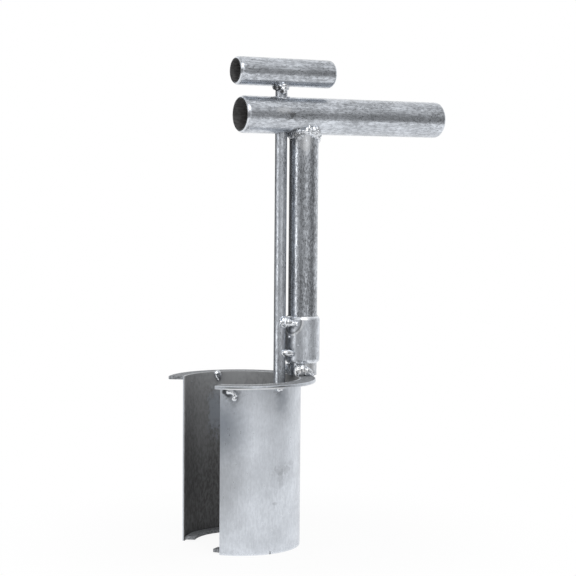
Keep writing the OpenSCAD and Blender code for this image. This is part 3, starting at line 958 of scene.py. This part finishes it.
molten = step("MeshToVolume", {"Mesh": drops, "Voxel Size": given["Voxel"]}, resolution_mode="VOXEL_SIZE")
skin = step("VolumeToMesh", {"Volume": molten, "Threshold": SKIN_LEVEL}, resolution_mode="GRID")
place = step("InputPosition")
even = step("BlurAttribute", {"Value": place, "Iterations": given["Smooth"]}, data_type="FLOAT_VECTOR")
skin = step("SetPosition", {"Geometry": skin, "Position": even})
lumps = noise(bead, place, times(bead, given["Seed"], SEED_STEP), LUMP_SCALE, LUMP_DETAIL)
height = times(bead, maths(bead, "SUBTRACT", lumps, 0.5), given["Lumps"])
rise = scaled(bead, step("InputNormal"), times(bead, height, LUMP_RISE))
skin = step("SetPosition", {"Geometry": skin, "Offset": rise})
skin = step("SetShadeSmooth", {"Geometry": skin, "Shade Smooth": True})
skin = step("RealizeInstances", {"Geometry": skin})
skin = step("SetMaterial", {"Geometry": skin, "Material": given["Material"]})
feed(bead, bead.nodes.new("NodeGroupOutput").inputs[0], skin)
print("bead tree nodes:", len(bead.nodes))

# %% [markdown]
# A tree runs on an object that holds only the path that it follows. Its inputs are set by their
# identifiers before the first evaluation. The result is then copied out as a plain mesh, and the
# modifier goes away. A bead that stands for a simple CAD weld hides it, and each rides on a body.

# %% Lay one bead


def chain(points):
    """Edges that join points in a row."""
    return [(i, i + 1) for i in range(len(points) - 1)]


def ring(points):
    """Edges that join points in a row, and the last one to the first."""
    return chain(points) + [(len(points) - 1, 0)]


def grow(name, tree, points, edges, fat, **values):
    """Runs a geometry tree on a path, and gives the finished object."""
    path = bpy.data.meshes.new(name + "_path")
    path.from_pydata(points, edges, [])
    path.attributes.new("fat", "FLOAT", "POINT").data.foreach_set("value", fat)
    made = bpy.data.objects.new(name, path)
    bpy.context.scene.collection.objects.link(made)
    modifier = made.modifiers.new("tree", "NODES")
    modifier.node_group = tree
    for item in tree.interface.items_tree:
        label = item.name.lower()
        if item.in_out == "INPUT" and label in values:
            modifier[item.identifier] = values[label]
    evaluated = made.evaluated_get(bpy.context.evaluated_depsgraph_get())
    finished = bpy.data.meshes.new_from_object(evaluated)
    made.modifiers.clear()
    made.data = finished
    finished.name = name
    return made


def lay_bead(name, body, node, points, edges=None, fat=None, slot="weld", material=weld_metal, **values):
    """Lays one bead that rides on a body, and stands for a CAD weld if a node is named."""
    fat = fat or [1.0] * len(points)
    made = grow(name, bead, points, edges or chain(points), fat, material=material, **values)
    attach(made, body)
    if node:
        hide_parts(node)
    print(name, len(made.data.polygons), "faces")


print("bead layer ready")

# %% [markdown]
# The saddle under the main handle is the strongest joint of the tool. Where two tubes cross, the edge of
# one dips and climbs round the other, so the path is the height of the handle's underside at each
# point round the stem. The fatness is listed at a few angles and runs straight between them. The bead is
# thin on the rod's side, where the welder could hardly reach.

# %% Weld the saddle under the main handle


def round_post(x, post, z, tube, angle, fall):
    """A point beside a post, below the tube that lies across it."""
    turned = math.radians(angle)
    side = post * math.sin(turned)
    return (x + post * math.cos(turned), side, z - math.sqrt(tube**2 - side**2) - fall)


def saddle(x, post, z, tube, fall, count):
    """Points all round a post where it meets a tube that lies across it."""
    return [round_post(x, post, z, tube, 360 * i / count, fall) for i in range(count)]


def round_fat(rows, count):
    """The fatness of points all round a post, on straight lines between rows of (angle, fatness)."""
    fat = []
    for at in (360 * i / count for i in range(count)):
        pairs = zip(rows, rows[1:])
        (a, low), (b, high) = next(pair for pair in pairs if pair[0][0] <= at <= pair[1][0])
        fat.append(low + (high - low) * (at - a) / (b - a))
    return fat


# Angle from the handle's long end, and fatness; the rod is at 180
TOP_FAT = [
    (0, 1.0), (60, 1.05), (100, 0.9), (125, 0.5), (195, 0.45), (210, 1.0), (232, 1.0),
    (275, 1.1), (310, 1.2), (335, 1.15), (360, 1.0),
]
TOP_COUNT, TOP_SAG = 72, 2 * MM
top_fat = round_fat(TOP_FAT, TOP_COUNT)
top_path = saddle(stem_x, stem_r + 0.2 * MM, main_z, main_r, 2.8 * MM, TOP_COUNT)
lay_bead(
    "bead_stem_top",
    "barrel_frame",
    "stem_top_weld",
    [(x, y, z - TOP_SAG * (fat - 1)) for (x, y, z), fat in zip(top_path, top_fat)],
    edges=ring(top_path),
    fat=top_fat,
    spacing=3.2 * MM,
    drop=Vector((3.0, 3.0, 4.9)) * MM,
    spread=0.3,
    shift=1.2 * MM,
    lumps=0.9 * MM,
    seed=6,
)

# %% [markdown]
# On the rod's side the metal flowed out into a smooth flare between stem and handle. Rows of points go
# round the stem, one below the other, and the drops shrink down the rows, so that the skin curves from
# the handle into the stem. It takes the stem's finish, so that no line shows where it ends.

# %% Flow the fillet beside it
FILLET_TURNS = range(118, 219, 10)
FILLET_STEP, FILLET_ROWS = 1.1, 9
FILLET_FAT, FILLET_FADE = 4.8, 3.8

fillet = [(angle, FILLET_STEP * row) for row in range(FILLET_ROWS) for angle in FILLET_TURNS]
lay_bead(
    "fillet_stem_top",
    "barrel_frame",
    None,
    [round_post(stem_x, stem_r, main_z, main_r, angle, fall * MM) for angle, fall in fillet],
    edges=[(i, i + 1) for i in range(len(fillet) - 1) if (i + 1) % len(FILLET_TURNS)],
    fat=[FILLET_FAT * math.exp(-fall / FILLET_FADE) for angle, fall in fillet],
    material=stem_zinc,
    spacing=1.1 * MM,
    drop=Vector((1, 1, 1)) * MM,
    spread=0.04,
    shift=0.1 * MM,
    lumps=0.08 * MM,
    smooth=12,
    seed=5,
)

# %% [markdown]
# The joint under the push handle has the same saddle shape, on the rod. From it a run of weld metal went
# down the rod before it set, which is a short bead of three points.

# %% Weld the push handle
PUSH_FAT = [
    (0, 0.6), (30, 0.7), (60, 1.0), (150, 1.1), (190, 1.5), (225, 1.1), (280, 0.95), (310, 0.65), (360, 0.6),
]
PUSH_COUNT = 40
push_path = saddle(rod_x, rod_r + 0.9 * MM, push_z, push_r, 1.2 * MM, PUSH_COUNT)
lay_bead(
    "bead_push_handle",
    "ejector",
    "push_handle_weld",
    push_path,
    edges=ring(push_path),
    fat=round_fat(PUSH_FAT, PUSH_COUNT),
    spacing=3.8 * MM,
    drop=Vector((2.2, 2.2, 2.7)) * MM,
    spread=0.25,
    shift=0.4 * MM,
    lumps=0.3 * MM,
    seed=7,
)
RUN_ANGLE, RUN_RISES = -101, (0.5, -2.5, -5.2)
lay_bead(
    "bead_push_handle_run",
    "ejector",
    None,
    [round_axis(rod_x, rod_r + 0.6 * MM, RUN_ANGLE, push_under + rise * MM) for rise in RUN_RISES],
    fat=[1.4, 1.4, 1.15],
    spacing=2.0 * MM,
    drop=Vector((3.0, 3.0, 2.5)) * MM,
    spread=0.08,
    shift=0.25 * MM,
    lumps=0.12 * MM,
    smooth=10,
    seed=9,
)

# %% [markdown]
# A drill leaves a burr where it breaks into a tube. The zinc has rounded it into a low bright lip on the
# handle, round the hole that the rod slides in. It could be cut into the handle, but a thin bead on the
# same saddle, turned upside down, leaves the CAD solid alone.

# %% Raise the lip of the rod's hole
LIP_R, LIP_COUNT = rod_r + 1.9 * MM, 40
under = saddle(rod_x, LIP_R, main_z, main_r, 0, LIP_COUNT)
lay_bead(
    "rod_hole_lip",
    "barrel_frame",
    None,
    [(x, y, 2 * main_z - z) for x, y, z in under],
    edges=ring(under),
    slot="tube",
    spacing=1.2 * MM,
    drop=Vector((0.7, 0.7, 0.6)) * MM,
    spread=0.2,
    shift=0.1 * MM,
    voxel=0.22 * MM,
    lumps=0.06 * MM,
    seed=51,
)

# %% [markdown]
# The stem stands on the flange, held by one bead on each side, and the back one mirrors the front one.
# The beads of the next two steps also come in a front and a back, so each is laid in a loop over the
# sides. Side is -1 at the front and 1 at the back. It goes into the seed too, so that no two are alike.

# %% Weld the stem's foot
SIDES = {"front": -1, "back": 1}
# Angle round the stem, height above the flange in millimetres, and fatness
FOOT_RUN = [(74, 1.4, 0.5), (90, 3.0, 1.0), (108, 4.4, 1.15), (131, 5.0, 1.5), (150, 4.4, 0.7)]
foot_r = stem_r + 0.9 * MM
for name, side in SIDES.items():
    lay_bead(
        "bead_stem_foot_" + name,
        "barrel_frame",
        "stem_foot_weld_" + name,
        [round_axis(stem_x, foot_r, side * angle, barrel_top + z * MM) for angle, z, fat in FOOT_RUN],
        fat=[fat for angle, z, fat in FOOT_RUN],
        spacing=3.4 * MM,
        drop=Vector((3.2, 3.2, 4.2)) * MM,
        spread=0.25,
        shift=0.8 * MM,
        lumps=0.22 * MM,
        seed=11 + side,
    )

# %% [markdown]
# Inside the barrel, two beads stop the push ring at the top of its way. The back one shows through the
# slot, so its run follows what is seen there.

# %% Lay the stop beads
# Each point is x and how far below the barrel's top it lies, in millimetres, and the fatness
STOP_RUNS = {
    "front": [(2, 4.2, 1.0), (2, 5.0, 1.0), (2, 5.6, 1.0)],
    "back": [(0.4, 1.4, 1.05), (1.4, 3.6, 1.0), (2.6, 6.0, 0.75)],
}
stop_y = barrel_r - barrel_wall - 0.4 * MM
for name, side in SIDES.items():
    lay_bead(
        "bead_stop_" + name,
        "barrel_frame",
        "stop_bead_" + name,
        [(x * MM, side * stop_y, barrel_top - fall * MM) for x, fall, fat in STOP_RUNS[name]],
        fat=[fat for x, fall, fat in STOP_RUNS[name]],
        spacing=2.0 * MM,
        drop=Vector((3.8, 2.6, 3.4)) * MM,
        spread=0.1,
        shift=0.5 * MM,
        lumps=0.25 * MM,
        seed=21 + side,
    )

# %% [markdown]
# The flange was tacked to the barrel from below, with two short beads on each side. The left one ran down
# the barrel, and the right one is hardly more than a spot.

# %% Tack the flange
# Angle round the barrel, as at its front, and how far below the flange it lies, in millimetres
TACK_RUNS = {
    "left": [(231, 2.4), (233.5, 3.0), (235.5, 4.4), (237.5, 7.0), (236.5, 9.4)],
    "right": [(279, 1.2), (281, 1.6), (283, 1.4)],
}
tack_r = barrel_r + 1.3 * MM
for name, side in SIDES.items():
    for place, run in TACK_RUNS.items():
        lay_bead(
            f"bead_flange_{name}_{place}",
            "barrel_frame",
            f"flange_tack_{name}_{place}",
            [round_axis(0, tack_r, -side * angle, flange_low - fall * MM) for angle, fall in run],
            spacing=3.4 * MM,
            drop=Vector((2.3, 2.3, 2.6)) * MM,
            spread=0.3,
            shift=0.7 * MM,
            lumps=0.3 * MM,
            seed=len(place) + side,
        )

# %% [markdown]
# Two smooth beads join the rod to its guide sleeve. Their drops lie close together and are hardly
# shifted, and the skin is averaged many times, which makes it slick.

# %% Weld the sleeve to the rod
# The height of the bead's middle, and then x, y, the height above it, and the fatness of each point
SLEEVE_RUNS = {
    "upper": (
        sleeve_high - 5 * MM,
        [
            (39.6, -6.2, 0, 1.45), (42.6, -7.2, -0.3, 1.35), (46.5, -8.4, -0.8, 0.95),
            (50.8, -11.2, -1.4, 0.75),
        ],
    ),
    "lower": (
        sleeve_low + 9.4 * MM,
        [(39.6, -6, 0.2, 0.7), (42.4, -6.6, 0, 0.92), (45.2, -6.6, 0, 0.92), (47.8, -7.8, -0.4, 0.7)],
    ),
}
for name, (z, run) in SLEEVE_RUNS.items():
    lay_bead(
        "bead_sleeve_" + name,
        "ejector",
        "sleeve_weld_" + name,
        [near(0, z, x, y, rise) for x, y, rise, fat in run],
        fat=[fat for x, y, rise, fat in run],
        spacing=1.5 * MM,
        drop=Vector((3.6, 3.6, 4.5)) * MM,
        spread=0.05,
        shift=0.1 * MM,
        lumps=0.02 * MM,
        smooth=30,
        seed=31 + len(name),
        material=smooth_metal,
    )

# %% [markdown]
# A welder's torch spits. The loose drops that stuck to the sleeve and the stem are laid as very short
# paths, one for each drop, in one piece for each body.

# %% Spatter a few loose drops
# x, y and z in millimetres, and the fatness of each drop
SPATTER = {
    "drops_sleeve": (
        "ejector",
        [
            (47.2, -3.4, 187.5, 0.9), (47.4, -3.2, 162.9, 0.6), (50.2, -9.9, 190.5, 0.5),
            (52.0, -11.8, 180.2, 0.45),
        ],
    ),
    "drops_stem": (
        "barrel_frame",
        [(58.5, -12.9, 367.5, 0.5), (64.5, -13.5, 371.5, 0.6), (70.2, -11.6, 370.0, 0.5)],
    ),
}
DROP_ENDS = (0, 0.4)
for name, (body, places) in SPATTER.items():
    lay_bead(
        name,
        body,
        None,
        [(x * MM, y * MM, (z + end) * MM) for x, y, z, fat in places for end in DROP_ENDS],
        edges=[(2 * i, 2 * i + 1) for i in range(len(places))],
        fat=[fat for x, y, z, fat in places for end in DROP_ENDS],
        spacing=1.0 * MM,
        drop=Vector((1.6, 1.6, 1.6)) * MM,
        spread=0.15,
        shift=0.1 * MM,
        lumps=0.1 * MM,
        seed=len(name),
        material=smooth_metal,
    )

# %% [markdown]
# The last bead goes all round the rod's foot, on the pad inside the push ring. Little of it shows, deep
# in the barrel, so it is a plain ring of even drops.

# %% Weld the rod's foot
FOOT_COUNT = 36
turns = [360 * i / FOOT_COUNT for i in range(FOOT_COUNT)]
foot_path = [round_axis(rod_x, rod_r + 0.8 * MM, angle, rod_foot + 1.2 * MM) for angle in turns]
lay_bead(
    "bead_rod_foot",
    "ejector",
    "rod_foot_weld",
    foot_path,
    edges=ring(foot_path),
    spacing=2.2 * MM,
    drop=Vector((1.6, 1.6, 2.2)) * MM,
    spread=0.2,
    shift=0.3 * MM,
    lumps=0.4 * MM,
    seed=41,
)

# %% Measure and finish
low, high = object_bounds()
